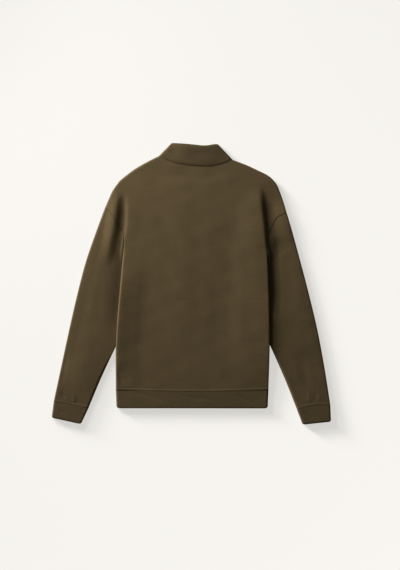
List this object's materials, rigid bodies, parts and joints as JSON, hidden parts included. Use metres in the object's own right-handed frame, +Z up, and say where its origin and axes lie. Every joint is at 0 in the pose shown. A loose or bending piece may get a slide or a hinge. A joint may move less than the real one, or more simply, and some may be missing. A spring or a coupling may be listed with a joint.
{
  "type": "half zip sweatshirt",
  "caption": "Half zip sweatshirt with a stand collar, drop shoulders, cuffs and a hem band, laid flat with its back up and its zip underneath.",
  "frame": {"origin": "on the surface that the garment lies on, under the middle of its box", "axes": "+Z up from the surface, out of the garment's back; +Y from the hem to the collar; +X to the viewer's right"},
  "size_m": [0.7805, 0.7865, 0.0094],
  "materials": {
    "jersey": "heavy olive brown jersey, smooth and matt",
    "band": "the same jersey, doubled",
    "tape": "woven zip tape, dark olive",
    "metal": "dark metal, satin"
  },
  "bodies": {
    "garment": {"back": "jersey", "front": "jersey", "sleeve_left": "jersey", "sleeve_right": "jersey", "collar": "band", "hem_band": "band", "cuff_left": "band", "cuff_right": "band", "zip_tape_left": "tape", "zip_tape_right": "tape", "zip_slider": "metal"},
    "pull": {"zip_pull": "metal"}
  },
  "joints": [
    {"name": "pull_hinge", "type": "hinge", "parent": "garment", "child": "pull", "pos_m": [0.012, 0.3045, 0.0009], "axis": [1, 0, 0], "range_deg": [0, 170]}
  ]
}
